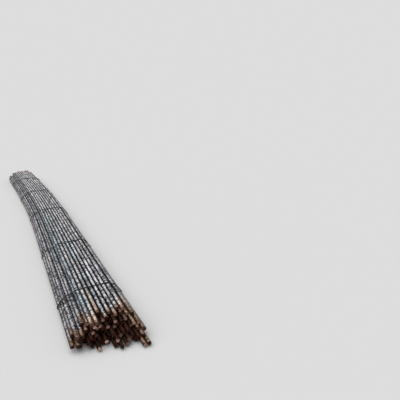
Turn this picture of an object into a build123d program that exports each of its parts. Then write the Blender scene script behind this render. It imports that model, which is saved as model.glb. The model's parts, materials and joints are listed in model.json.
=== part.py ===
from build123d import *
import math
import os
import random

# Bundle of ribbed reinforcing bars, lying on the ground and held by loops of wire rod.
# Millimetres, +Z up, +Y along the bundle towards its far end, +X to the right when it is
# seen from the near end. The origin is the middle of the bounding box, on the ground.
# The bars have twelve plain flats here: their ribs are fine relief.

# Bars
bar_diameter = 29.0
bar_length = 6000.0
bar_sides = 12  # each bar is this many flats round, with a round bar's weight
seat_gap = 0.7  # a bar lies this far from the bars that it rests on
bars_per_layer = (14, 15, 14, 13, 11, 8)  # from the ground up
layer_seed = 11

# Free room between neighbours of the lowest layer, beyond their seat gap, at four stations
# along the bundle. It fans out at its near end.
near_room = 5.7
waist_room = 2.5
bend_room = 2.7
far_room = 1.5
unevenness = 0.6  # how much of the room between two neighbours changes at random

# The bundle lies straight from its near end to its waist, then turns left twice
waist_distance = 3200.0
bend_distance = 1400.0
bend_angle = 1.8

# Ragged ends: where a bar begins, from the near station, before its random part
lowest_layer_start = -15.0
top_layer_start = 150.0
lowest_layer_slant = -0.35  # change of the start across the bundle, for each mm to the right
top_layer_slant = 0.2
start_scatter = 60.0

# Loops of wire rod round the bundle, each with its two ends twisted together
wire_diameter = 6.0
wire_gap = 0.6  # between a loop and the bars that it holds
wire_sides = 6  # the rod's section has flats, one of them against the bars and the ground
tie_shares = (0.103, 0.287, 0.517, 0.708, 0.892)  # how far along the bundle each loop is
tie_slants = (0.0, 9.0, 12.0, 6.0, -5.0)  # degrees about the vertical
twist_angles = (140.0, 52.0, 66.0, 128.0, 48.0)  # where each twist lies, from +X over the top
twist_pitch = 32.0
twist_turns = 2.5
twist_steps = 6  # straight runs in one turn of a twisted end
twist_gap = 1.2  # the twisted ends stand this far off the bars
strand_gap = 0.3  # between the two twisted ends
strand_share = 0.94  # an end's thickness beside the rod's: twisting stretches it thinner

# Places that follow from the sizes
bar_radius = bar_diameter / 2
turn_per_side = 2 * math.pi / bar_sides
corner_radius = bar_radius * math.sqrt(turn_per_side / math.sin(turn_per_side))
wire_radius = wire_diameter / 2
reach = bar_diameter + seat_gap  # between the axes of two bars that touch
strand_radius = strand_share * wire_radius
strand_orbit = strand_radius + strand_gap / 2  # from the twist's axis to each end's axis


def loop_offset(slant):
    """How far a slanted loop's axis passes outside the axes of the outermost bars."""
    turn = math.radians(slant)
    half_flat = wire_radius * math.tan(math.pi / wire_sides)
    square_offset = bar_radius + wire_gap + wire_radius
    return (square_offset + half_flat * math.sin(abs(turn))) / math.cos(turn)


# The loop with the largest slant reaches lowest, and the bundle lies on it
ground_layer_height = max(loop_offset(slant) for slant in tie_slants) + wire_radius


def heading(angle):
    """The direction along the bundle where it has turned left by this many degrees."""
    turn = math.radians(angle)
    return Vector(-math.sin(turn), math.cos(turn), 0)


def rightwards(angle):
    """The direction across the bundle, to its right, where it has turned left by this angle."""
    turn = math.radians(angle)
    return Vector(math.cos(turn), math.sin(turn), 0)


def seat_between(left, right):
    """The axis of a bar that rests in the groove between two bars, given their axes."""
    run = right[0] - left[0]
    rise = right[1] - left[1]
    apart = math.hypot(run, rise)
    height = math.sqrt(reach**2 - (apart / 2) ** 2)
    middle_x = (left[0] + right[0]) / 2
    middle_z = (left[1] + right[1]) / 2
    return (middle_x - rise / apart * height, middle_z + run / apart * height)


def seat_outside(outer, neighbour, side):
    """The axis of a bar on the outer bar's flank, level with its neighbour in the new layer."""
    height = neighbour[1] - outer[1]
    return (outer[0] + side * math.sqrt(reach**2 - height**2), outer[1] + height)


def stack_section(room, chance):
    """The bars' axes in one cross-section, as (x, z) in layers from the ground up."""
    places = [0.0]
    for _ in range(bars_per_layer[0] - 1):
        share = 1 + unevenness * chance.uniform(-1, 1)
        places.append(places[-1] + reach + room * share)
    middle = places[-1] / 2
    layers = [[(x - middle, ground_layer_height) for x in places]]
    for count in bars_per_layer[1:]:
        below = layers[-1]
        layer = [seat_between(below[i], below[i + 1]) for i in range(len(below) - 1)]
        if count > len(layer):
            left = seat_outside(below[0], layer[0], -1)
            right = seat_outside(below[-1], layer[-1], 1)
            layer = [left] + layer + [right]
        spare = len(layer) - count
        odd = (spare + len(layers)) % 2
        first = (spare + odd) // 2 if spare else 0
        layers.append(layer[first : first + count])
    return layers


# Stations: where the bundle's middle passes, which way it faces, and how its bars lie there
chance = random.Random(layer_seed)
waist_point = Vector(0, waist_distance, 0)
bend_point = waist_point + heading(bend_angle) * bend_distance
far_distance = bar_length - waist_distance - bend_distance
far_point = bend_point + heading(2 * bend_angle) * far_distance
stations = (
    (Vector(0, 0, 0), 0.0, stack_section(near_room, chance)),
    (waist_point, bend_angle / 2, stack_section(waist_room, chance)),
    (bend_point, 1.5 * bend_angle, stack_section(bend_room, chance)),
    (far_point, 2 * bend_angle, stack_section(far_room, chance)),
)


def bar_path(layer_number, place):
    """The four points of one bar's axis: its near end, the two bends and its far end."""
    axis = []
    for middle, angle, layers in stations:
        x, z = layers[layer_number][place]
        axis.append(middle + rightwards(angle) * x + Vector(0, 0, z))
    height_share = layer_number / (len(bars_per_layer) - 1)
    start = lowest_layer_start + (top_layer_start - lowest_layer_start) * height_share
    slant = lowest_layer_slant + (top_layer_slant - lowest_layer_slant) * height_share
    start += slant * axis[0].X + start_scatter * chance.uniform(-1, 1)
    first_run = (axis[1] - axis[0]).normalized()
    near_end = axis[0] + first_run * start
    used = (axis[1] - near_end).length + (axis[2] - axis[1]).length
    last_run = (axis[3] - axis[2]).normalized()
    return [near_end, axis[1], axis[2], axis[2] + last_run * (bar_length - used)]


bar_paths = [
    [bar_path(number, place) for place in range(count)]
    for number, count in enumerate(bars_per_layer)
]
all_points = [point for layer in bar_paths for path in layer for point in path]
centre_x = (min(p.X for p in all_points) + max(p.X for p in all_points)) / 2
centre_y = (min(p.Y for p in all_points) + max(p.Y for p in all_points)) / 2
to_origin = Vector(-centre_x, -centre_y, 0)


def bar_solid(axis):
    """One bar. Its flats run from section to section: square at its ends, mitred at its bends."""
    runs = [(b - a).normalized() for a, b in zip(axis, axis[1:])]
    near_end = Plane(axis[0], x_dir=rightwards(0), z_dir=runs[0])
    section = []
    for side in range(bar_sides):
        turn = (side + 0.5) * turn_per_side
        corner = Vector(corner_radius * math.cos(turn), corner_radius * math.sin(turn), 0)
        section.append(near_end.from_local_coords(corner))
    faces = [Face(Wire.make_polygon(section))]
    facings = [a + b for a, b in zip(runs, runs[1:])] + [runs[-1]]
    for run, point, facing in zip(runs, axis[1:], facings):
        onward = [c + run * ((point - c).dot(facing) / run.dot(facing)) for c in section]
        for i in range(bar_sides):
            flat = [section[i - 1], section[i], onward[i], onward[i - 1]]
            faces.append(Face(Wire.make_polygon(flat)))
        section = onward
    faces.append(Face(Wire.make_polygon(section)))
    return Solid(Shell(faces))


def convex_outline(points):
    """The corners of the convex outline round some (x, z) points, anticlockwise."""
    ordered = sorted(points)
    halves = []
    for sequence in (ordered, ordered[::-1]):
        half = []
        for point in sequence:
            while len(half) > 1:
                (ax, az), (bx, bz) = half[-2], half[-1]
                if (bx - ax) * (point[1] - az) - (bz - az) * (point[0] - ax) > 0:
                    break
                half.pop()
            half.append(point)
        halves.append(half[:-1])
    return halves[0] + halves[1]


def tie_plane(distance, slant):
    """The upright plane of a loop, its +X across the bundle and its +Y up, and the run it is on."""
    if distance < waist_distance:
        run, angle, past = 0, 0.0, distance
        begin = Vector(0, 0, 0)
    elif distance < waist_distance + bend_distance:
        run, angle, past = 1, bend_angle, distance - waist_distance
        begin = waist_point
    else:
        run, angle, past = 2, 2 * bend_angle, distance - waist_distance - bend_distance
        begin = bend_point
    middle = begin + heading(angle) * past + to_origin
    across = rightwards(angle + slant)
    return Plane(origin=middle, x_dir=across, z_dir=-heading(angle + slant)), run, angle


def bars_in_plane(plane, run):
    """Where the bars' axes pass through a loop's plane, as (x, z) in that plane."""
    places = []
    for path in (path for layer in bar_paths for path in layer):
        begin = path[run] + to_origin
        along = path[run + 1] - path[run]
        share = (plane.origin - begin).dot(plane.z_dir) / along.dot(plane.z_dir)
        crossing = plane.to_local_coords(begin + along * share)
        places.append((crossing.X, crossing.Y))
    return places


def twisted_ends(plane, corners, slant, angle, twist_angle):
    """The two ends' axes: each leaves the loop, and they wind round each other along the bundle."""
    side = math.radians(twist_angle)
    outwards = Vector(math.cos(side), math.sin(side), 0)
    corner = max(corners, key=lambda c: c[0] * outwards.X + c[1] * outwards.Y)
    on_loop = plane.from_local_coords(Vector(*corner) + outwards * loop_offset(slant))
    radial = (on_loop - plane.from_local_coords(Vector(*corner))).normalized()
    along = -heading(angle)
    across = radial.cross(along).normalized()
    lift = twist_gap + strand_orbit + strand_radius - wire_gap - wire_radius
    ends = []
    for turned in (0, math.pi):
        points = [on_loop + across * math.cos(turned) * strand_orbit]
        for step in range(1, round(twist_steps * twist_turns) + 1):
            turn = turned + step / twist_steps * 2 * math.pi
            winding = across * math.cos(turn) + radial * math.sin(turn)
            forward = along * (step / twist_steps * twist_pitch)
            points.append(on_loop + radial * lift + winding * strand_orbit + forward)
        ends.append(points)
    return ends


os.makedirs("parts", exist_ok=True)

# Layers of bars, from the ground up
for number, layer_paths in enumerate(bar_paths, start=1):
    with BuildPart() as bar_layer:
        add([bar_solid([point + to_origin for point in path]) for path in layer_paths])
    bar_layer.part.label = f"bar_layer_{number}"
    export_step(bar_layer.part, f"parts/bar_layer_{number}.step")

# Loops of wire rod. The section is turned so that a flat faces the bars.
flat_turn = 90 - 180 / wire_sides
ties = zip(tie_shares, tie_slants, twist_angles)
for number, (share, slant, twist_angle) in enumerate(ties, start=1):
    plane, run, angle = tie_plane(share * bar_length, slant)
    corners = convex_outline(bars_in_plane(plane, run))
    with BuildSketch(plane, mode=Mode.PRIVATE) as loop_outline:
        Polygon(*corners, align=None)
        offset(amount=loop_offset(slant), kind=Kind.ARC)
    loop = loop_outline.sketch.face().outer_wire()
    with BuildPart() as tie_wire:
        with BuildSketch(Plane(origin=loop @ 0, z_dir=loop % 0, x_dir=plane.z_dir)):
            RegularPolygon(wire_radius, wire_sides, major_radius=False, rotation=flat_turn)
        sweep(path=loop)
        for points in twisted_ends(plane, corners, slant, angle, twist_angle):
            with BuildLine() as end_axis:
                Polyline(*points)
            with BuildSketch(Plane(end_axis.line @ 0, z_dir=end_axis.line % 0)):
                RegularPolygon(strand_radius, wire_sides)
            sweep(transition=Transition.RIGHT)
    tie_wire.part.label = f"tie_wire_{number}"
    export_step(tie_wire.part, f"parts/tie_wire_{number}.step")
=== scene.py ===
import json
import logging
import math
import random
from contextlib import contextmanager
from dataclasses import dataclass, field
from enum import Enum
from typing import Callable, Iterator

import bmesh
import bpy
import numpy as np
from mathutils import Matrix, Vector
from mathutils.geometry import convex_hull_2d

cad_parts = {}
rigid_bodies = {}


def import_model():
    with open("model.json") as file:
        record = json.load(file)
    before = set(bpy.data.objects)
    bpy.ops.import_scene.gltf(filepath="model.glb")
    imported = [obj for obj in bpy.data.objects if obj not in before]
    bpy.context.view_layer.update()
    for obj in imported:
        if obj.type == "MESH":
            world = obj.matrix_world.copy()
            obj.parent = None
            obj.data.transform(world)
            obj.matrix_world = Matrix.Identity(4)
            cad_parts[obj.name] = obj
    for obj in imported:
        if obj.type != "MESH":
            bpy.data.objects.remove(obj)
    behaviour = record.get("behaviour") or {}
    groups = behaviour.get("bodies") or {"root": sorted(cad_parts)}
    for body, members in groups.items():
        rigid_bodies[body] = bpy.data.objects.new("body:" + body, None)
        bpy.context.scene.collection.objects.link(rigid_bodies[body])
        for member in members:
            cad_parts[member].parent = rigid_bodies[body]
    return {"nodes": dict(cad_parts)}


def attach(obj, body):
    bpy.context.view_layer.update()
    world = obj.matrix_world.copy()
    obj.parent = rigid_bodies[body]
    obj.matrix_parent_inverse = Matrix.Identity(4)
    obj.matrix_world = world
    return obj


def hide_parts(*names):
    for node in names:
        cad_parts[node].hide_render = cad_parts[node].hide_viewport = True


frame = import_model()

# Looks of a bundle of ribbed reinforcing bars, ragged at its ends and held by loops of wire rod.
# Metres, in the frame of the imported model. Every bar and every loop lies where the model has it.

LOG = logging.getLogger("rebar_bundle")
MM = 0.001
TURN = 2 * math.pi
SHARP_ANGLE = math.radians(50)  # where edges stay sharp
SHEAR_LEANS = (0.03, 0.10, -0.16)  # of three kinds of sheared bar, in radians
Colour = tuple[float, float, float]
Place = tuple[float, float, float]
Flat = tuple[float, float]  # a place in a loop's upright plane
Plane = tuple[Vector, Vector]  # a place on it, and its normal
Piece = bpy.types.Object
Socket = bpy.types.NodeSocket


# Small helpers for modelling by hand


def select(*pieces: Piece) -> None:
    """Select pieces alone, with the first of them active.

    Args:
        *pieces: The objects that the next operators act on.
    """
    for other in bpy.context.view_layer.objects:
        other.select_set(other in pieces)
    bpy.context.view_layer.objects.active = pieces[0]


@contextmanager
def edit(
    piece: Piece, wanted: Callable[[object], bool] = lambda part: True, kind: str = "VERT"
) -> Iterator[None]:
    """Edit a piece with its wanted parts selected.

    Args:
        piece: The mesh object.
        wanted: Says of a vertex or a face whether it is selected.
        kind: VERT or FACE.

    Yields:
        Nothing, in edit mode.
    """
    select(piece)
    bpy.ops.object.mode_set(mode="EDIT")
    bpy.ops.mesh.select_mode(type=kind)
    bpy.ops.mesh.select_all(action="DESELECT")
    shape = bmesh.from_edit_mesh(piece.data)
    for part in shape.verts if kind == "VERT" else shape.faces:
        part.select_set(wanted(part))
    shape.select_flush_mode()
    bmesh.update_edit_mesh(piece.data)
    yield
    bpy.ops.object.mode_set(mode="OBJECT")


def draw_out(distance: float) -> None:
    """Extrude what is selected along X.

    Args:
        distance: How far, in metres.
    """
    bpy.ops.mesh.extrude_region_move(TRANSFORM_OT_translate={"value": (distance, 0, 0)})


def add(name: str, data: bpy.types.ID) -> Piece:
    """Add an object to the scene.

    Args:
        name: Its name.
        data: Its mesh, curve, lamp or camera.

    Returns:
        The object.
    """
    made = bpy.data.objects.new(name, data)
    bpy.context.scene.collection.objects.link(made)
    return made


def discard(*pieces: Piece) -> None:
    """Delete pieces that were only steps in the making, and their data.

    Args:
        *pieces: The mesh or curve objects.
    """
    bpy.data.batch_remove([part for piece in pieces for part in (piece, piece.data)])


def join(pieces: list[Piece], name: str) -> Piece:
    """Join pieces into one mesh.

    Args:
        pieces: The pieces.
        name: Their new name.

    Returns:
        The joined piece.
    """
    select(*pieces)
    bpy.ops.object.join()
    joined = pieces[0]
    joined.name = name
    joined.data.name = name
    return joined


def read(parts: bpy.types.bpy_prop_collection, name: str) -> np.ndarray:
    """Read a place or a direction from each part of a mesh.

    Args:
        parts: Its vertices, faces or normals.
        name: What is read.

    Returns:
        One row for each part.
    """
    rows = np.empty(len(parts) * 3, np.float32)
    parts.foreach_get(name, rows)
    return rows.reshape(-1, 3)


def store(piece: Piece, name: str, values: np.ndarray, domain: str = "POINT") -> None:
    """Store numbers on a mesh, for its finish to read.

    Args:
        piece: The mesh object.
        name: The attribute's name.
        values: One number, or one row of three, for each vertex or face.
        domain: POINT or FACE.
    """
    kind, key = ("FLOAT_VECTOR", "vector") if values.ndim == 2 else ("FLOAT", "value")
    made = piece.data.attributes.new(name, kind, domain)
    made.data.foreach_set(key, values.astype(np.float32).reshape(-1))


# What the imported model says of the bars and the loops


def solid_corners(node: str) -> list[np.ndarray]:
    """Find the separate solids of a node.

    Args:
        node: The name of the node.

    Returns:
        The corners of each solid, from left to right.
    """
    decimals = 6
    mesh = frame["nodes"][node].data
    places = np.array([vertex.co for vertex in mesh.vertices])
    corners, number = np.unique(np.round(places, decimals), axis=0, return_inverse=True)
    number = number.reshape(-1)
    faces = [number[list(face.vertices)] for face in mesh.polygons]
    label = np.arange(len(corners))
    settled = False
    while not settled:
        before = label.copy()
        for face in faces:
            label[face] = label[face].min()
        settled = (label == before).all()
    groups = [corners[label == each] for each in np.unique(label)]
    return sorted(groups, key=lambda group: group[:, 0].mean())


def axis_points(corners: np.ndarray) -> list[Vector]:
    """Find the points of a bar's axis.

    Args:
        corners: The bar's corners, in one ring at each end and at each bend.

    Returns:
        The rings' centres, from the near end.
    """
    ring_apart = 0.1
    ordered = corners[np.argsort(corners[:, 1])]
    breaks = np.where(np.diff(ordered[:, 1]) > ring_apart)[0] + 1
    return [Vector(ring.mean(axis=0)) for ring in np.split(ordered, breaks)]


# Materials


@dataclass(frozen=True)
class Pattern:
    """A cloudy pattern."""

    scale: float  # how many clouds there are in a metre
    detail: float  # how many finer patterns lie over the first
    rough: float = 0.6  # how strong each finer pattern is


@dataclass(frozen=True)
class Ramp:
    """A smooth step from one range of numbers to another."""

    low: float
    high: float
    to_low: float = 0.0
    to_high: float = 1.0


class Graph:
    """A node graph, with a short way to write each kind of node."""

    def __init__(self, owner: bpy.types.ID, shader: str = "Principled BSDF") -> None:
        """Start a graph.

        Args:
            owner: The new material or world.
            shader: The name of the shader at its output.
        """
        owner.use_nodes = True
        self.owner = owner
        self.nodes = owner.node_tree.nodes
        self.links = owner.node_tree.links
        self.shader = self.nodes[shader]

    def node(self, kind: str, **inputs: object) -> bpy.types.Node:
        """Add a node and link or set its inputs, given by name.

        Args:
            kind: The node's type, without its leading words.
            **inputs: A socket to link, or a value to set, for each input.

        Returns:
            The new node.
        """
        made = self.nodes.new("ShaderNode" + kind)
        for name, value in inputs.items():
            self.feed(made.inputs[name.replace("_", " ")], value)
        return made

    def feed(self, socket: Socket, value: object) -> None:
        """Link a socket to another, or set its value.

        Args:
            socket: The input.
            value: The output to link, or a number, a place or a colour.
        """
        if isinstance(value, Socket):
            self.links.new(value, socket)
        elif isinstance(value, tuple) and socket.type == "RGBA":
            socket.default_value = (*value, 1)
        else:
            socket.default_value = value

    def attribute(self, name: str, output: str = "Fac") -> Socket:
        """Read one of the mesh's own attributes.

        Args:
            name: The attribute's name.
            output: Fac for a number, Vector for a place.

        Returns:
            The attribute.
        """
        made = self.node("Attribute")
        made.attribute_name = name
        return made.outputs[output]

    def maths(self, operation: str, *numbers: object) -> Socket:
        """Work out a number from up to three others.

        Args:
            operation: The name of the operation.
            *numbers: The numbers or sockets.

        Returns:
            The result.
        """
        made = self.node("Math")
        made.operation = operation
        for socket, number in zip(made.inputs, numbers):
            self.feed(socket, number)
        return made.outputs[0]

    def times(self, first: object, *factors: object) -> Socket:
        """Multiply numbers.

        Args:
            first: The first number or socket.
            *factors: The others.

        Returns:
            The product.
        """
        for factor in factors:
            first = self.maths("MULTIPLY", first, factor)
        return first

    def spread(self, value: object, ramp: Ramp) -> Socket:
        """Map a number by a ramp.

        Args:
            value: The number.
            ramp: The two ranges.

        Returns:
            The mapped number.
        """
        made = self.node("MapRange")
        made.interpolation_type = "SMOOTHSTEP"
        numbers = (value, ramp.low, ramp.high, ramp.to_low, ramp.to_high)
        for socket, number in zip(made.inputs, numbers):
            self.feed(socket, number)
        return made.outputs[0]

    def noise(self, place: Socket, pattern: Pattern) -> Socket:
        """Read a cloudy pattern at a place.

        Args:
            place: The place.
            pattern: How fine and how rough it is.

        Returns:
            A number from 0 to 1, mostly about 0.5.
        """
        made = self.node(
            "TexNoise", Vector=place, Scale=pattern.scale, Detail=pattern.detail, Roughness=pattern.rough
        )
        return made.outputs["Fac"]

    def mix(self, share: object, a: object, b: object) -> Socket:
        """Mix two colours.

        Args:
            share: How much of the second there is, from 0 to 1.
            a: The first colour.
            b: The second colour.

        Returns:
            The mixed colour.
        """
        made = self.node("Mix")
        made.data_type = "RGBA"
        for name, value in (("Factor_Float", share), ("A_Color", a), ("B_Color", b)):
            self.feed(next(s for s in made.inputs if s.identifier == name), value)
        return next(s for s in made.outputs if s.identifier == "Result_Color")

    def bump(self, height: Socket, distance: float) -> None:
        """Give the surface a relief.

        Args:
            height: The relief's height, from 0 to 1.
            distance: How high a height of 1 is, in metres.
        """
        made = self.node("Bump", Height=height, Distance=distance)
        self.feed(self.shader.inputs["Normal"], made.outputs["Normal"])


@dataclass(frozen=True)
class RibForm:
    """The ribs that are rolled on a bar: slanted crescents on two sides, and two along the bar."""

    core_radius: float = 13.9 * MM
    rib_height: float = 1.5 * MM
    rib_width: float = 6.2 * MM
    long_rib_height: float = 0.9 * MM
    lean: float = 9.0 * MM
    wanted_pitch: float = 22.0 * MM
    sides: int = 12

    def pitch(self, length: float) -> float:
        """Fit the distance from rib to rib to a bar.

        Args:
            length: The bar's length.

        Returns:
            The distance, near the wanted one.
        """
        return length / round(length / self.wanted_pitch)


@dataclass(frozen=True)
class BarFinish:
    """Wet mill scale, rubbed light in flecks and lighter on top, darker below, as painted light and
    shade, with painted glints, a painted highlight streak and a painted blue sheen, and rust towards the
    sheared ends.
    """

    ribs: RibForm
    bar_length: float

    scale_dark: Colour = (0.010, 0.010, 0.011)
    # dark and light of the painted blue sheen, a reflection of a pale sky on wet scale
    scale_blue_sheen: Colour = (0.022, 0.039, 0.052)
    scale_brown: Colour = (0.050, 0.035, 0.030)
    # the light metal of rubbed scale, which is also the colour of the painted highlights
    light_wear_and_highlight: Colour = (0.92, 0.91, 0.97)
    light_blue_sheen: Colour = (0.70, 0.80, 0.85)
    light_brown: Colour = (0.86, 0.80, 0.77)
    # near black: dark wet rust, and painted shade where it faces down or lies covered
    rust_dark_and_shade: Colour = (0.012, 0.0045, 0.003)
    rust_orange: Colour = (0.260, 0.068, 0.025)
    rust_tan: Colour = (0.950, 0.680, 0.500)
    # the dark of the sheared faces, partly rust and partly painted shade deep in the ragged end
    cut_dark_and_shade: Colour = (0.014, 0.0045, 0.003)
    cut_pink: Colour = (0.720, 0.430, 0.340)

    grain: Pattern = Pattern(900, 2, 0.7)
    speckle: Pattern = Pattern(70, 5, 0.85)
    flecks: Pattern = Pattern(33, 4, 0.75)
    patches: Pattern = Pattern(45, 4)  # drawn out along the bar
    patch_stretch: float = 0.12
    clouds: Pattern = Pattern(2.5, 3)
    face_spots: Pattern = Pattern(150, 4)

    lit: Ramp = Ramp(0.37, 0.93, 0.02, 1.0)  # painted light and shade, from a dark flank to the light top of a bar
    # a painted highlight streak along the top of each bar
    streak_top: Ramp = Ramp(0.9, 0.985)
    fleck_edge: Ramp = Ramp(0.45, 0.54)
    fleck_wear_and_glitter: float = 0.70
    rib_glint: Ramp = Ramp(0.2, 0.9, 0.2, 1.0)  # painted glints on the rib crests, from the dullest rib to the brightest
    glint_between_flecks: float = 0.35  # what is left of it there
    crescent: Ramp = Ramp(0.05, 0.5)  # from a slanted rib's tip to its middle
    streak_patches: Ramp = Ramp(0.35, 0.6, 0.3, 1.0)
    highlight_streak_strength: float = 0.36
    wear_and_light_patches: Ramp = Ramp(0.3, 0.65, 0.5, 1.05)
    wear_and_light_blue_sheen: Ramp = Ramp(0.0, 1.0, 1.0, 0.9)
    pits: Ramp = Ramp(0.45, 0.5, 0.6, 0.0)  # in the tan zone
    tinge_wear: float = 0.14
    rust_wear_and_light: float = 0.65
    sheltered_wear_and_light: float = 0.01  # what is left of the wear and painted light on bars that others cover, a painted shade
    sheltered_rust: float = 0.15  # what is left of the bright rust on them, the rest near black as painted shade
    # painted shadow of the loops on the bars
    painted_loop_shadow: Ramp = Ramp(0.0, 0.8, 1.0, 0.08)

    shortest_tinge: float = 0.06  # how far the tan zone reaches from the ends, in metres
    longest_tinge: float = 0.42
    shortest_rust: float = 0.015  # how far the dark rust reaches on the top of a bar
    longest_rust: float = 0.05
    rust_round: Ramp = Ramp(0.1, 0.9, 4.0, 1.0)  # how many times further it reaches below
    rust_inside: float = 0.25  # how much further it reaches on bars that others cover, where its near black is partly painted shade
    unevenness: float = 1.4  # of the zones' borders
    tinge_border: float = 0.7  # as a share of the zone
    rust_border: float = 0.6
    tinge_strength: float = 0.95
    orange_specks: Ramp = Ramp(0.44, 0.6)

    cool_from: Ramp = Ramp(0.1, 0.35)  # where along the bars the painted blue sheen begins and fades
    cool_until: Ramp = Ramp(2.4, 4.4, 1.0, 0.0)
    cool_clouds: float = 1.6
    cool_edge: Ramp = Ramp(1.0, 2.1)
    brown_share: Ramp = Ramp(0.5, 0.8)  # of the bars
    brown_patches: Ramp = Ramp(0.3, 0.7)
    pale_faces: Ramp = Ramp(0.45, 0.95)
    face_rust: Ramp = Ramp(0.46, 0.72)
    face_specks: Ramp = Ramp(0.36, 0.5)

    metallic: float = 0.3
    dullness: Ramp = Ramp(0.2, 0.8, 0.26, 0.44)
    rust_dullness: float = 0.22
    grain_height: float = 0.12  # a share of the ribs' height


class BarGraph(Graph):
    """The bars' node graph, which reads once what several of its parts need."""

    def __init__(self, finish: BarFinish) -> None:
        """Read the attributes and the patterns at a place.

        Args:
            finish: The finish's colours and numbers.
        """
        super().__init__(bpy.data.materials.new("bar_steel"))
        self.finish = finish
        place = self.attribute("bar_place", "Vector")
        self.tone = self.attribute("bar_tone")
        self.upward = self.attribute("facing_up")
        self.sheltered = self.attribute("sheltered")
        self.sheared = self.attribute("sheared")
        self.along, self.side, self.rise = self.node("SeparateXYZ", Vector=place).outputs

        shift = self.node("CombineXYZ", X=self.times(self.tone, 40.0)).outputs[0]
        moved = self.node("VectorMath", Vector=place)
        self.feed(moved.inputs[1], shift)
        self.own_place = moved.outputs[0]
        stretch = (finish.patch_stretch, 1, 1)
        stretched = self.node("Mapping", Vector=self.own_place, Scale=stretch).outputs[0]
        self.patches = self.noise(stretched, finish.patches)
        self.speckle = self.noise(self.own_place, finish.speckle)
        # painted light and shade: a place is lighter the more it faces up
        self.lit = self.spread(self.upward, finish.lit)
        self.on_rib, self.rib_chance = self.read_ribs()
        self.tinge, self.rusted = self.read_ends()
        self.blue_sheen = self.read_blue_sheen()
        # how light the bar is, from wear and from painted light and shade
        self.wear_and_light = self.read_wear_and_light()

    def per_bar(self, factor: float) -> Socket:
        """Draw a random number for each bar.

        Args:
            factor: Another one for each use.

        Returns:
            A number from 0 to 1.
        """
        return self.maths("FRACT", self.times(self.tone, factor))

    def read_ribs(self) -> tuple[Socket, Socket]:
        """Find the slanted ribs.

        Returns:
            1 on a rib's crest and 0 between ribs, and a random number for each rib.
        """
        form = self.finish.ribs
        squares = self.maths("ADD", self.times(self.side, self.side), self.times(self.rise, self.rise))
        radius = self.maths("SQRT", squares)
        pitch = form.pitch(self.finish.bar_length)
        slant = self.times(self.maths("DIVIDE", self.side, radius), form.lean)
        turns = self.maths("DIVIDE", self.maths("ADD", self.along, slant), pitch)
        crest = form.rib_width / 2 / pitch
        from_crest = self.maths("ABSOLUTE", self.maths("SUBTRACT", self.maths("FRACT", turns), crest))
        height = self.maths("ABSOLUTE", self.maths("DIVIDE", self.rise, radius))
        crescent = self.spread(height, self.finish.crescent)
        mask = self.times(self.spread(from_crest, Ramp(0.06, crest * 1.35, 1.0, 0.0)), crescent)
        side_step = 0.37  # tells the ribs above the bar's middle from those below it
        bar_step = 913.0
        turn = self.maths("FLOOR", turns)
        number = self.maths("MULTIPLY_ADD", self.maths("SIGN", self.rise), side_step, turn)
        drawn = self.node("TexWhiteNoise")
        drawn.noise_dimensions = "1D"
        self.feed(drawn.inputs["W"], self.maths("MULTIPLY_ADD", self.tone, bar_step, number))
        return mask, drawn.outputs["Value"]

    def end_zone(self, reach: Socket, border: float) -> Socket:
        """Find a zone at a bar's ends, with an uneven border.

        Args:
            reach: How far it reaches.
            border: How wide its border is, as a share of that.

        Returns:
            1 in the zone and 0 outside.
        """
        from_far = self.maths("SUBTRACT", self.finish.bar_length, self.along)
        from_end = self.maths("MINIMUM", self.along, from_far)
        uneven = self.times(self.maths("SUBTRACT", self.patches, 0.5), self.finish.unevenness)
        depth = self.maths("SUBTRACT", 1.0, self.maths("DIVIDE", from_end, reach))
        return self.spread(self.maths("ADD", depth, uneven), Ramp(0.0, border))

    def read_ends(self) -> tuple[Socket, Socket]:
        """Find the two zones at a bar's ends.

        Returns:
            How tan a place is, and how rusty.
        """
        f = self.finish
        share = self.per_bar(3.1)
        squared = self.maths("POWER", share, 2.0)
        reach = self.maths("MULTIPLY_ADD", squared, f.longest_tinge, f.shortest_tinge)
        tinge = self.times(self.end_zone(reach, f.tinge_border), f.tinge_strength)
        reach = self.maths("MULTIPLY_ADD", share, f.longest_rust, f.shortest_rust)
        reach = self.times(reach, self.spread(self.upward, f.rust_round))
        reach = self.maths("MULTIPLY_ADD", self.sheltered, f.rust_inside, reach)
        return tinge, self.end_zone(reach, f.rust_border)

    def read_blue_sheen(self) -> Socket:
        """Find the group of bars with a painted blue sheen, a reflection of a pale sky on wet steel.

        Returns:
            How strong the painted blue sheen is at a place.
        """
        f = self.finish
        cool = self.times(self.attribute("cool"), self.spread(self.along, f.cool_from))
        cool = self.times(cool, self.spread(self.along, f.cool_until))
        cloud = self.noise(self.node("TexCoord").outputs["Object"], f.clouds)
        return self.spread(self.maths("ADD", cool, self.times(cloud, f.cool_clouds)), f.cool_edge)

    def read_wear_and_light(self) -> Socket:
        """Find how light a place is: rubbed scale in flecks, painted glints on ribs and a painted
        highlight streak on top, under painted shade on flanks, on covered bars and beside loops.

        Returns:
            0 for dark scale or painted shade and 1 for the light metal or a painted highlight.
        """
        f = self.finish
        # light flecks of rubbed scale, which also stand in for the glitter of wet ribs as a painted
        # highlight
        flecks = self.spread(self.noise(self.own_place, f.flecks), f.fleck_edge)
        # painted highlight: glints on the crests of the ribs, brighter on some ribs than others
        glint = self.times(self.on_rib, self.spread(self.rib_chance, f.rib_glint))
        least = f.glint_between_flecks
        glint = self.times(glint, self.maths("MULTIPLY_ADD", flecks, 1 - least, least))
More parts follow.
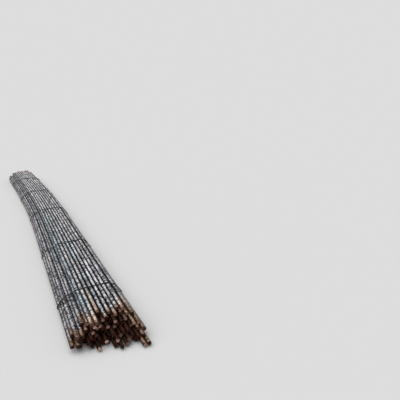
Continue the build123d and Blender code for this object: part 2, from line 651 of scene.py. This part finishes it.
        # painted highlight: a light streak along the top of each bar, broken by patches
        streak = self.spread(self.upward, f.streak_top)
        streak = self.times(streak, self.spread(self.patches, f.streak_patches))
        streak = self.maths("MULTIPLY_ADD", streak, f.highlight_streak_strength, glint)
        wear_and_light = self.maths("MULTIPLY_ADD", flecks, f.fleck_wear_and_glitter, streak)
        wear_and_light = self.times(wear_and_light, self.spread(self.patches, f.wear_and_light_patches))
        wear_and_light = self.times(wear_and_light, self.spread(self.blue_sheen, f.wear_and_light_blue_sheen))
        wear_and_light = self.maths("MULTIPLY_ADD", self.tinge, f.tinge_wear, wear_and_light)
        pitted = self.times(self.tinge, self.spread(self.speckle, f.pits))
        wear_and_light = self.times(wear_and_light, self.maths("SUBTRACT", 1.0, pitted))
        # painted shadow: darker beside the loops
        wear_and_light = self.times(wear_and_light, self.spread(self.attribute("painted_loop_shadow"), f.painted_loop_shadow))
        # painted shade: bars that others cover are kept dark
        painted_cover_shade = self.spread(self.sheltered, Ramp(0.0, 1.0, 1.0, f.sheltered_wear_and_light))
        return self.maths("MINIMUM", self.times(wear_and_light, self.lit, painted_cover_shade), 1.0)

    def steel(self) -> Socket:
        """Colour the bar away from its ends, with painted light and shade and a painted blue sheen in
        its scale.

        Returns:
            The colour.
        """
        f = self.finish
        brownish = self.spread(self.per_bar(7.3), f.brown_share)
        brownish = self.times(brownish, self.spread(self.patches, f.brown_patches))
        scale = self.mix(self.blue_sheen, f.scale_dark, f.scale_blue_sheen)
        scale = self.mix(self.maths("MAXIMUM", brownish, self.tinge), scale, f.scale_brown)
        light = self.mix(self.blue_sheen, f.light_wear_and_highlight, f.light_blue_sheen)
        light = self.mix(brownish, light, f.light_brown)
        return self.mix(self.wear_and_light, scale, self.mix(self.tinge, light, f.rust_tan))

    def rust(self) -> Socket:
        """Colour the dark rust beside the ends: orange only where it faces up and lies open, near black
        elsewhere, partly as painted shade.

        Returns:
            The colour.
        """
        f = self.finish
        # painted light: the orange shows only on rust that faces up and is not covered
        seen = self.times(self.lit, self.spread(self.sheltered, Ramp(0.0, 1.0, 1.0, f.sheltered_rust)))
        orange = self.times(self.spread(self.speckle, f.orange_specks), seen)
        rust = self.mix(orange, f.rust_dark_and_shade, f.rust_orange)
        return self.mix(self.times(self.wear_and_light, f.rust_wear_and_light), rust, f.rust_tan)

    def sheared_face(self) -> Socket:
        """Colour the sheared faces, some paler than others, the rest near black, partly as painted
        shade.

        Returns:
            The colour.
        """
        f = self.finish
        spots = self.spread(self.noise(self.own_place, f.face_spots), f.face_rust)
        face = self.mix(spots, f.cut_dark_and_shade, f.rust_orange)
        pale = self.spread(self.per_bar(11.7), f.pale_faces)
        return self.mix(self.times(pale, self.spread(self.speckle, f.face_specks)), face, f.cut_pink)

    def draw(self) -> bpy.types.Material:
        """Put the parts together.

        Returns:
            The finished material.
        """
        f, inputs = self.finish, self.shader.inputs
        body = self.mix(self.rusted, self.steel(), self.rust())
        self.feed(inputs["Base Color"], self.mix(self.sheared, body, self.sheared_face()))
        bare = self.maths("SUBTRACT", 1.0, self.maths("MAXIMUM", self.rusted, self.sheared))
        self.feed(inputs["Metallic"], self.times(bare, f.metallic))
        dull = self.spread(self.patches, f.dullness)
        self.feed(inputs["Roughness"], self.maths("MULTIPLY_ADD", self.rusted, f.rust_dullness, dull))
        inputs["IOR"].default_value = 1.5
        inputs["Specular IOR Level"].default_value = 0.08

        relief = self.times(self.on_rib, self.attribute("ribs_in_relief"))
        grain = self.noise(self.own_place, f.grain)
        self.bump(self.maths("MULTIPLY_ADD", grain, f.grain_height, relief), f.ribs.rib_height)
        return self.owner


@dataclass(frozen=True)
class WireFinish:
    """Dark drawn wire rod, bright in stretches where it is scraped and where painted glints of the wet
    wire lie, with a little rust.
    """

    dark: Colour = (0.012, 0.012, 0.012)
    # scraped metal, and the colour of the painted glints
    light: Colour = (0.60, 0.59, 0.58)
    rust: Colour = (0.110, 0.045, 0.024)
    fine: Pattern = Pattern(300, 4)
    broad: Pattern = Pattern(30, 3)
    stretches: Pattern = Pattern(9, 2)
    scratches: Ramp = Ramp(0.46, 0.6)
    # the bright stretches of the wire: scrapes, and painted glints of wet wire
    scrape_and_glint: Ramp = Ramp(0.56, 0.62)
    rust_patches: Ramp = Ramp(0.55, 0.68)
    rust_grain: Ramp = Ramp(0.35, 0.55)
    dullness: Ramp = Ramp(0.2, 0.8, 0.30, 0.55)
    metallic: float = 0.6
    relief: float = 0.25 * MM

    def material(self) -> bpy.types.Material:
        """Make the material.

        Returns:
            The material.
        """
        g = Graph(bpy.data.materials.new("tie_wire"))
        inputs = g.shader.inputs
        place = g.node("TexCoord").outputs["Object"]
        fine = g.noise(place, self.fine)
        stretch = g.spread(g.noise(place, self.stretches), self.scrape_and_glint)
        steel = g.mix(g.times(g.spread(fine, self.scratches), stretch), self.dark, self.light)
        rusted = g.spread(g.noise(place, self.broad), self.rust_patches)
        rusted = g.times(rusted, g.spread(fine, self.rust_grain))
        g.feed(inputs["Base Color"], g.mix(rusted, steel, self.rust))
        g.feed(inputs["Metallic"], g.times(g.maths("SUBTRACT", 1.0, rusted), self.metallic))
        g.feed(inputs["Roughness"], g.spread(fine, self.dullness))
        inputs["Coat Weight"].default_value = 0.06
        inputs["Coat Roughness"].default_value = 0.2
        g.bump(fine, self.relief)
        return g.owner


# The bars


class Ribbing(Enum):
    """How far a bar's ribs are modelled. Elsewhere they are relief in the finish."""

    WHOLE = "along the whole bar"
    ENDS = "at both ends"


@dataclass
class BarModel:
    """A straight bar along X from 0 to its length."""

    ribs: RibForm
    length: float
    shear_lean: float  # of the sheared faces, in radians
    end_pitches: int = 22  # with modelled ribs, at each end of a covered bar
    plain_steps: int = 24  # of its plain middle, to bend in
    chamfer: float = 1.6 * MM
    rim: float = 0.89  # the sheared face's share of the bar's radius
    dish: float = 0.5 * MM
    hollow: float = 0.7  # the dish's share of the sheared face
    hair: float = 0.05 * MM  # how near a vertex lies to where it is looked for
    weld: float = 0.01 * MM
    flat_end: float = 0.9  # how far along X an end's normals point at least

    @property
    def pitch(self) -> float:
        """The distance from rib to rib."""
        return self.ribs.pitch(self.length)

    def one_pitch(self) -> Piece:
        """Model one pitch of the ribbed bar, open at both sides.

        Returns:
            A ring of the bar with a slanted crescent rib on each side.
        """
        ribs = self.ribs
        bpy.ops.mesh.primitive_cylinder_add(
            vertices=ribs.sides,
            radius=ribs.core_radius,
            depth=self.pitch,
            end_fill_type="NOTHING",
            location=(self.pitch / 2, 0, 0),
            rotation=(0, math.pi / 2, 0),
        )
        ring = bpy.context.active_object
        bpy.ops.object.transform_apply(location=True, rotation=True, scale=True)
        for distance in (ribs.rib_width / 2, ribs.rib_width):
            with edit(ring):
                bpy.ops.mesh.bisect(plane_co=(distance, 0, 0), plane_no=(1, 0, 0))

        angles = [TURN * i / ribs.sides for i in range(ribs.sides)]
        sines = sorted({round(abs(math.sin(angle)), 4) for angle in angles})
        for sine in sines[1:]:
            grown = 1 + ribs.rib_height * sine / ribs.core_radius
            with edit(
                ring,
                lambda v: abs(v.co.x - ribs.rib_width / 2) < self.hair
                and abs(abs(v.co.z) - sine * ribs.core_radius) < self.hair,
            ):
                bpy.ops.transform.resize(value=(1, grown, grown), center_override=(0, 0, 0))
        grown = 1 + ribs.long_rib_height / ribs.core_radius
        with edit(ring, lambda v: abs(v.co.z) < self.hair):
            bpy.ops.transform.resize(value=(1, grown, 1), center_override=(0, 0, 0))

        for cosine in sorted({round(math.cos(angle), 4) for angle in angles}):
            with edit(ring, lambda v: abs(v.co.y / math.hypot(v.co.y, v.co.z) - cosine) < 0.01):
                bpy.ops.transform.translate(value=(-ribs.lean * cosine, 0, 0))
        return ring

    def stretch_of(self, ring: Piece, count: int, begin: float) -> Piece:
        """Repeat the pitch along a stretch of the bar, welded end to end.

        Args:
            ring: The modelled pitch.
            count: How many pitches there are.
            begin: Where the stretch begins.

        Returns:
            The stretch.
        """
        stretch = add("ribbed_stretch", ring.data.copy())
        select(stretch)
        row = stretch.modifiers.new("Row", "ARRAY")
        row.count = count
        row.use_relative_offset = False
        row.use_constant_offset = True
        row.constant_offset_displace = (self.pitch, 0, 0)
        row.use_merge_vertices = True
        row.merge_threshold = self.weld
        bpy.ops.object.modifier_apply(modifier=row.name)
        stretch.data.transform(Matrix.Translation((begin, 0, 0)))
        return stretch

    def ends_only(self, ring: Piece) -> Piece:
        """Repeat the pitch at both ends, and draw the middle out plain between them.

        Args:
            ring: The modelled pitch.

        Returns:
            The bar, with one pitch to spare at each end.
        """
        reach = self.end_pitches * self.pitch
        step = (self.length - 2 * reach) / self.plain_steps
        lean = self.ribs.lean
        near = self.stretch_of(ring, self.end_pitches + 1, -self.pitch)
        with edit(  # the last ring, which leans as the ribs do
            near, lambda v: abs(v.co.x + lean * v.co.y / math.hypot(v.co.y, v.co.z) - reach) < self.hair
        ):
            for _ in range(self.plain_steps):
                draw_out(step)
        far = self.stretch_of(ring, self.end_pitches + 1, self.length - reach)
        bar = join([near, far], "end_ribbed_bar")
        with edit(bar):
            bpy.ops.mesh.remove_doubles(threshold=0.02 * MM)
        return bar

    def cut_ends(self, bar: Piece) -> None:
        """Cut the bar to length and shape both sheared faces.

        Args:
            bar: The ribbed bar, with a pitch to spare at each end.
        """
        cuts = ((self.chamfer, -1), (self.length - self.chamfer, 1))
        for place, way in cuts:
            with edit(bar):
                bpy.ops.mesh.bisect(
                    plane_co=(place, 0, 0), plane_no=(way, 0, 0), use_fill=True, clear_outer=True
                )
        with edit(bar):
            bpy.ops.mesh.normals_make_consistent(inside=False)
        for place, way in cuts:
            middle = (place + way * self.chamfer, 0, 0)
            lean = self.shear_lean * way
            with edit(
                bar,
                lambda face: abs(face.calc_center_median().x - place) < 2 * self.hair
                and face.normal.x * way > self.flat_end,
                "FACE",
            ):
                draw_out(way * self.chamfer)
                bpy.ops.transform.resize(value=(1, self.rim, self.rim), center_override=middle)
                bpy.ops.transform.rotate(value=lean, orient_axis="Y", center_override=middle)
                draw_out(-way * self.dish)
                bpy.ops.transform.resize(value=(1, self.hollow, self.hollow), center_override=middle)

    def model(self, ribbing: Ribbing) -> Piece:
        """Model a bar of one kind.

        Args:
            ribbing: Where its ribs are modelled.

        Returns:
            The bar, with what its finish needs stored on it.
        """
        ring = self.one_pitch()
        if ribbing is Ribbing.WHOLE:
            bar = self.stretch_of(ring, round(self.length / self.pitch) + 2, -self.pitch)
        else:
            bar = self.ends_only(ring)
        discard(ring)
        self.cut_ends(bar)
        bpy.ops.object.shade_smooth_by_angle(angle=SHARP_ANGLE)
        places = read(bar.data.vertices, "co")
        store(bar, "bar_place", places)
        reach = self.end_pitches * self.pitch
        along = places[:, 0]
        plain = (along > reach) & (along < self.length - reach) & (ribbing is Ribbing.ENDS)
        store(bar, "ribs_in_relief", plain)
        facing = np.abs(read(bar.data.polygons, "normal")[:, 0])
        store(bar, "sheared", facing > self.flat_end, "FACE")
        return bar


@dataclass
class BarLayer:
    """One layer of the bundle: its bars, bent along the axes that the model gives them."""

    node: str
    exposed: int  # how many bars at each side show along their length
    seed: int
    finish: bpy.types.Material
    handle_reach: float = 0.45  # how far from a bend the bars ease into it
    cool_place: float = -0.025  # where the painted blue sheen lies at the near end
    cool_width: float = 0.062
    # how far the outer bars of the lower layers count as covered, for the painted shade
    outer_shelter: float = 0.45
    loop_shadow: float = 17.0 * MM  # how far beside a loop the bars are dark, a painted shadow of the loop
    axes: list[list[Vector]] = field(init=False)

    def __post_init__(self) -> None:
        """Read the axes of the layer's bars."""
        self.axes = [axis_points(corners) for corners in solid_corners(self.node)]

    def axis_curve(self, points: list[Vector]) -> Piece:
        """Draw a bar's axis as a smooth curve through its stations.

        Args:
            points: The stations, from the near end.

        Returns:
            The curve, which eases through each bend.
        """
        curve = bpy.data.curves.new("bar_axis", "CURVE")
        curve.dimensions = "3D"
        curve.resolution_u = 32
        spline = curve.splines.new("BEZIER")
        spline.bezier_points.add(len(points) - 1)
        ways = [(b - a).normalized() for a, b in zip(points, points[1:])]
        facing = [ways[0]] + [(a + b).normalized() for a, b in zip(ways, ways[1:])] + [ways[-1]]
        for knot, point, way in zip(spline.bezier_points, points, facing):
            knot.co = point
            knot.handle_left_type = knot.handle_right_type = "FREE"
            knot.handle_left = point - way * self.handle_reach
            knot.handle_right = point + way * self.handle_reach
        return add("bar_axis", curve)

    def bent_bar(
        self, straight: Piece, points: list[Vector], shelter: float, chance: random.Random
    ) -> Piece:
        """Copy a straight bar, turn it about its axis and bend it.

        Args:
            straight: The modelled bar.
            points: The stations of its axis.
            shelter: How far others cover it, from 0 to 1.
            chance: Where its turn and its tone come from.

        Returns:
            The bar in its place.
        """
        bar = add("bar", straight.data.copy())
        bar.data.transform(Matrix.Rotation(chance.uniform(0, TURN), 4, "X"))
        # painted blue sheen on the bars near cool_place
        cool = min(1.0, max(0.0, 2 - abs(points[0].x - self.cool_place) / self.cool_width))
        for name, value in (("bar_tone", chance.random()), ("sheltered", shelter), ("cool", cool)):
            store(bar, name, np.full(len(bar.data.vertices), value))
        axis = self.axis_curve(points)
        select(bar)
        bend = bar.modifiers.new("Bend", "CURVE")
        bend.object = axis
        bend.deform_axis = "POS_X"
        bpy.ops.object.modifier_apply(modifier=bend.name)
        discard(axis)
        return bar

    def mark(self, layer: Piece, planes: list[Plane]) -> None:
        """Store on each vertex how far it faces up, for the painted light and shade, and how near it is
        to a loop, for the painted loop shadow.

        Args:
            layer: The layer.
            planes: The loops' planes.
        """
        store(layer, "facing_up", read(layer.data.vertex_normals, "vector")[:, 2])
        places = read(layer.data.vertices, "co")
        away = [np.abs((places - np.array(origin)) @ np.array(normal)) for origin, normal in planes]
        store(layer, "painted_loop_shadow", np.clip(1 - np.min(away, axis=0) / self.loop_shadow, 0, 1))

    def build(self, models: dict[Ribbing, list[Piece]], planes: list[Plane]) -> Piece:
        """Lay the layer's bars.

        Args:
            models: The straight bars of each kind.
            planes: The loops' planes.

        Returns:
            The layer as one mesh.
        """
        chance = random.Random(self.seed)
        side_shelter = 0.0 if self.exposed == len(self.axes) else self.outer_shelter
        bars = []
        for number, points in enumerate(self.axes):
            shows = min(number, len(self.axes) - 1 - number) < self.exposed
            straight = chance.choice(models[Ribbing.WHOLE if shows else Ribbing.ENDS])
            bars.append(self.bent_bar(straight, points, side_shelter if shows else 1.0, chance))
        layer = join(bars, "bars_" + self.node.removeprefix("bar_"))
        self.mark(layer, planes)
        layer.data.materials.append(self.finish)
        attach(layer, "root")
        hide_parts(self.node)
        return layer


# The loops of wire rod


@dataclass
class TieLoop:
    """A loop of wire rod round the bars, with its two ends twisted together."""

    node: str
    bar_axes: list[list[Vector]]
    seed: int
    finish: bpy.types.Material
    wire_radius: float = 3.2 * MM
    bar_reach: float = 15.1 * MM  # from a bar's axis to the wire
    wander: float = 7.0 * MM  # how far the wire strays along the bundle
    bulge: float = 1.2 * MM  # how far it stands off between two bars
    free_step: float = 34.0 * MM  # from one point of it to the next between two bars
    turn_step: float = math.radians(22)  # from one point to the next round a bar
    twist_pitch: float = 30.0 * MM
    twist_steps: int = 8  # points for each turn of the twist
    twist_room: float = 11.0 * MM  # how near the twist the wire has left the bars
    flare: float = 0.9  # how far the tips of the twist stand apart
    flare_share: float = 0.2  # of the twist's length
    middle_height: float = 0.06  # the twist stands away from here
    origin: Vector = field(init=False)
    across: Vector = field(init=False)
    normal: Vector = field(init=False)
    twist_root: Vector = field(init=False)
    twist_way: Vector = field(init=False)
    twist_length: float = field(init=False)

    def __post_init__(self) -> None:
        """Read the loop's upright plane and its twist from the model."""
        in_plane, off_plane, rounds = 5 * MM, 9 * MM, 12
        corners = solid_corners(self.node)[0]
        flat = corners[:, :2]
        in_loop = np.ones(len(flat), bool)
        for _ in range(rounds):
            middle = flat[in_loop].mean(axis=0)
            _, _, axes = np.linalg.svd(flat[in_loop] - middle)
            across = axes[0] if axes[0][0] > 0 else -axes[0]
            normal = np.array([across[1], -across[0]])
            off = (flat - middle) @ normal
            in_loop = np.abs(off) < in_plane
        self.across = Vector((*across, 0))
        self.normal = Vector((*normal, 0))
        self.origin = Vector((*middle, 0))
        ends = corners[off > off_plane]
        centre = ends.mean(axis=0)
        _, _, axes = np.linalg.svd(ends - centre)
        way = Vector(axes[0])
        self.twist_way = way if way.dot(self.normal) > 0 else -way
        distance = (Vector(centre) - self.origin).dot(self.normal) / self.twist_way.dot(self.normal)
        self.twist_root = Vector(centre) - self.twist_way * distance
        reach = [(Vector(corner) - self.twist_root).dot(self.twist_way) for corner in ends]
        self.twist_length = max(reach) - self.wire_radius

    def to_place(self, x: float, z: float, ahead: float = 0.0) -> Vector:
        """Turn a place in the loop's plane into a place in the model.

        Args:
            x: How far it is to the right.
            z: How high it is.
            ahead: How far it is off the plane.

        Returns:
            The place.
        """
        return self.origin + self.across * x + Vector((0, 0, z)) + self.normal * ahead

    def outline(self) -> list[Flat]:
        """Find where the outermost bars' axes pass through the loop's plane.

        Returns:
            Their places in the plane, anticlockwise from the left.
        """
        places = []
        for points in self.bar_axes:
            for a, b in zip(points, points[1:]):
                side_a = (a - self.origin).dot(self.normal)
                side_b = (b - self.origin).dot(self.normal)
                if side_a * side_b <= 0 and side_a != side_b:
                    hit = a.lerp(b, side_a / (side_a - side_b))
                    places.append(((hit - self.origin).dot(self.across), hit.z))
                    break
        places.sort()
        around = convex_hull_2d(places)
        first = around.index(0)
        return [places[i] for i in around[first:] + around[:first]]

    def loop_points(self, chance: random.Random) -> list[Flat]:
        """Lay the wire round the outermost bars, in the loop's plane.

        Args:
            chance: Where the small bulges between bars come from.

        Returns:
            Places anticlockwise round the loop, none of them below a wire on the ground.
        """
        corners = self.outline()
        offset = self.bar_reach + self.wire_radius
        places = []
        for i, (x, z) in enumerate(corners):
            before, after = corners[i - 1], corners[(i + 1) % len(corners)]
            turn_in = math.atan2(z - before[1], x - before[0]) - math.pi / 2
            turn_out = math.atan2(after[1] - z, after[0] - x) - math.pi / 2
            sweep = (turn_out - turn_in) % TURN
            steps = max(1, round(sweep / self.turn_step))
            for step in range(steps + 1):
                angle = turn_in + sweep * step / steps
                places.append((x + offset * math.cos(angle), z + offset * math.sin(angle)))
            pieces = int(math.hypot(after[0] - x, after[1] - z) / self.free_step)
            for piece in range(1, pieces):
                share = piece / pieces
                out = offset + chance.uniform(-0.2, 1.0) * self.bulge
                free_x = x + (after[0] - x) * share + out * math.cos(turn_out)
                free_z = z + (after[1] - z) * share + out * math.sin(turn_out)
                places.append((free_x, free_z))
        return [(x, max(z, self.wire_radius)) for x, z in places]

    def opened_loop(self, chance: random.Random) -> list[Vector]:
        """Open the loop at its twist and let it stray along the bundle.

        Args:
            chance: Where its unevenness comes from.

        Returns:
            Its points from one side of the twist round to the other.
        """
        places = self.loop_points(chance)
        root = self.twist_root - self.origin
        twist = (root.dot(self.across), root.z)
        nearest = min(range(len(places)), key=lambda i: math.dist(places[i], twist))
        places = places[nearest:] + places[:nearest]
        while math.dist(places[0], twist) < self.twist_room:
            places.pop(0)
        while math.dist(places[-1], twist) < self.twist_room:
            places.pop()
        waves = [(n, chance.uniform(0, TURN), chance.uniform(0.5, 1.0)) for n in (1, 2, 3)]
        loop = []
        for i, (x, z) in enumerate(places):
            share = i / (len(places) - 1)
            held = math.sin(math.pi * share) ** 0.5
            drift = sum(size * math.sin(phase + TURN * n * share) for n, phase, size in waves)
            loop.append(self.to_place(x, z, drift * self.wander / 2 * held))
        return loop

    def wire_path(self, chance: random.Random) -> list[Vector]:
        """Follow the wire from one twisted end round to the other.

        Args:
            chance: Where its unevenness comes from.

        Returns:
            The wire's points.
        """
        loop = self.opened_loop(chance)
        outward = (self.twist_root - self.to_place(0, self.middle_height)).normalized()
        outward = (outward - self.twist_way * outward.dot(self.twist_way)).normalized()
        sideways = self.twist_way.cross(outward).normalized()
        if (loop[0] - self.twist_root).dot(sideways) < 0:
            sideways = -sideways
        ends = []
        orbit = self.wire_radius * 1.04
        steps = round(self.twist_length / self.twist_pitch * self.twist_steps)
        for turned in (0.0, math.pi):
            end = []
            for step in range(steps + 1):
                share = step / steps
                angle = turned + TURN * step / self.twist_steps
                flared = max(0.0, share - (1 - self.flare_share)) / self.flare_share
                spoke = sideways * math.cos(angle) + outward * math.sin(angle)
                forward = self.twist_way * (share * self.twist_length)
                end.append(self.twist_root + spoke * orbit * (1 + self.flare * flared) + forward)
            ends.append(end)
        return ends[0][::-1] + loop + ends[1]

    def build(self) -> Piece:
        """Model the wire as a smooth line with a round section.

        Returns:
            The loop and its twist as one mesh.
        """
        points = self.wire_path(random.Random(self.seed))
        curve = bpy.data.curves.new("wire_line", "CURVE")
        curve.dimensions = "3D"
        curve.resolution_u = 4
        curve.bevel_depth = self.wire_radius
        curve.bevel_resolution = 3
        curve.use_fill_caps = True
        spline = curve.splines.new("NURBS")
        spline.points.add(len(points) - 1)
        for knot, point in zip(spline.points, points):
            knot.co = (*point, 1)
        spline.order_u = 3
        spline.use_endpoint_u = True
        wire = add("loop_" + self.node, curve)
        select(wire)
        bpy.ops.object.convert(target="MESH")
        wire = bpy.context.view_layer.objects.active
        with edit(wire):
            bpy.ops.mesh.remove_doubles(threshold=0.01 * MM)
            bpy.ops.mesh.normals_make_consistent(inside=False)
        bpy.ops.object.shade_smooth_by_angle(angle=SHARP_ANGLE)
        wire.data.materials.append(self.finish)
        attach(wire, "root")
        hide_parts(self.node)
        return wire


# The stage, the light and the camera


@dataclass
class Studio:
    """A plain pale floor under soft light from above."""

    floor_size: float = 600.0
    floor_colour: Colour = (0.76, 0.755, 0.745)
    sky_strength: float = 0.42
    sky_colour: Colour = (0.95, 0.97, 1.0)
    lamp_strength: float = 2.0
    lamp_spread: float = 75.0  # degrees
    lamp_place: Place = (-3.0, 3.0, 7.5)
    background: Colour = (0.723, 0.726, 0.725)

    def build_floor(self) -> None:
        """Lay the floor, which has no gloss."""
        bpy.ops.mesh.primitive_plane_add(size=self.floor_size, location=(0, 0, 0))
        floor = bpy.context.active_object
        floor.name = "floor"
        g = Graph(bpy.data.materials.new("pale_floor"))
        g.feed(g.shader.inputs["Base Color"], self.floor_colour)
        g.shader.inputs["Roughness"].default_value = 1.0
        g.shader.inputs["Specular IOR Level"].default_value = 0.0
        floor.data.materials.append(g.owner)

    def build_light(self) -> None:
        """Light the scene from a pale sky and one wide, soft lamp."""
        world = bpy.data.worlds.new("sky")
        bpy.context.scene.world = world
        g = Graph(world, "Background")
        g.feed(g.shader.inputs["Color"], self.sky_colour)
        g.feed(g.shader.inputs["Strength"], self.sky_strength)
        pale = g.node("Background", Color=self.background)
        rays = g.node("LightPath").outputs
        seen = rays["Is Camera Ray"]
        for kind in ("Is Glossy Ray", "Is Transmission Ray"):
            seen = g.maths("MAXIMUM", seen, rays[kind])
        mix = g.node("MixShader", Fac=seen)
        g.feed(mix.inputs[1], g.shader.outputs[0])
        g.feed(mix.inputs[2], pale.outputs[0])
        g.feed(g.nodes["World Output"].inputs["Surface"], mix.outputs[0])

        lamp = bpy.data.lights.new("soft_lamp", "SUN")
        lamp.energy = self.lamp_strength
        lamp.angle = math.radians(self.lamp_spread)
        placed = add("soft_lamp", lamp)
        placed.location = self.lamp_place
        placed.rotation_euler = (-Vector(self.lamp_place)).to_track_quat("-Z", "Y").to_euler()


@dataclass
class Viewpoint:
    """Where the photograph was taken from."""

    eye_height: float = 1.65
    to_the_right: float = -0.491
    along: float = -5.411
    heading: float = 27.2  # degrees to the right of the bundle's direction
    downwards: float = 14.98  # degrees
    lens: float = 36.0
    sensor: float = 36.0
    sight: float = 1000.0

    def build(self) -> None:
        """Place the camera."""
        data = bpy.data.cameras.new("camera")
        data.lens = self.lens
        data.sensor_width = self.sensor
        data.clip_end = self.sight
        camera = add("camera", data)
        camera.location = (self.to_the_right, self.along, self.eye_height)
        camera.rotation_euler = (math.radians(90 - self.downwards), 0, -math.radians(self.heading))
        bpy.context.scene.camera = camera


def triangles(piece: Piece) -> int:
    """Count a mesh's triangles.

    Args:
        piece: The mesh object.

    Returns:
        How many there are once each face is cut up.
    """
    return sum(len(face.vertices) - 2 for face in piece.data.polygons)


def main() -> None:
    """Build the bars, the loops, the stage and the camera."""
    logging.basicConfig(level=logging.INFO, format="%(message)s")
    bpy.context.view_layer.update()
    ribs = RibForm()
    layers = sorted(name for name in frame["nodes"] if name.startswith("bar_layer"))
    ties = sorted(name for name in frame["nodes"] if name.startswith("tie_wire"))
    stations = axis_points(solid_corners(layers[0])[0])
    length = sum((b - a).length for a, b in zip(stations, stations[1:]))

    models = {
        ribbing: [BarModel(ribs, length, lean).model(ribbing) for lean in SHEAR_LEANS]
        for ribbing in Ribbing
    }
    for ribbing, bars in models.items():
        LOG.info("bar with ribs %s: %d triangles", ribbing.value, triangles(bars[0]))

    bar_finish = BarGraph(BarFinish(ribs, length)).draw()
    exposed = {layers[-1]: 8, layers[-2]: 3, layers[-3]: 3}
    stack = [
        BarLayer(node, exposed.get(node, 2), seed=100 + number, finish=bar_finish)
        for number, node in enumerate(layers, start=1)
    ]
    axes = [points for layer in stack for points in layer.axes]
    wire_finish = WireFinish().material()
    loops = [
        TieLoop(node, axes, seed=200 + number, finish=wire_finish)
        for number, node in enumerate(ties, start=1)
    ]
    planes = [(loop.origin, loop.normal) for loop in loops]
    pieces = [layer.build(models, planes) for layer in stack]
    discard(*(bar for bars in models.values() for bar in bars))
    pieces += [loop.build() for loop in loops]
    for piece in pieces:
        LOG.info("%s: %d triangles", piece.name, triangles(piece))
    LOG.info("in all: %d triangles", sum(map(triangles, pieces)))

    studio = Studio()
    studio.build_floor()
    studio.build_light()
    Viewpoint().build()
    bpy.context.scene.view_settings.view_transform = "Standard"


if __name__ == "__main__":
    main()
